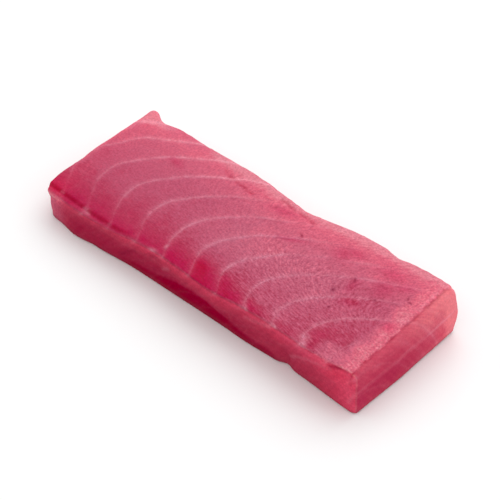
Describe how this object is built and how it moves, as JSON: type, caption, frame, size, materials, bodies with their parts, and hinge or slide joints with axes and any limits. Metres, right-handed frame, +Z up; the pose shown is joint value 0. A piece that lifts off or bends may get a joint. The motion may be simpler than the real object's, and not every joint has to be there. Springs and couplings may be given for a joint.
{
  "type": "raw tuna steak",
  "caption": "Oblong block of raw tuna loin with pale curved muscle seams across its sloping top, square-cut ends and a flat base to lie on.",
  "frame": {"origin": "under the middle of the block's box, on the surface it lies on", "axes": "+X along the block to its thick end, +Y across it to the side with the waist, +Z up"},
  "size_m": [0.191, 0.0734, 0.026],
  "materials": {
    "tuna_flesh": "moist, softly shiny, translucent raw flesh"
  },
  "bodies": {
    "root": {"tuna_steak": "tuna_flesh"}
  },
  "joints": []
}
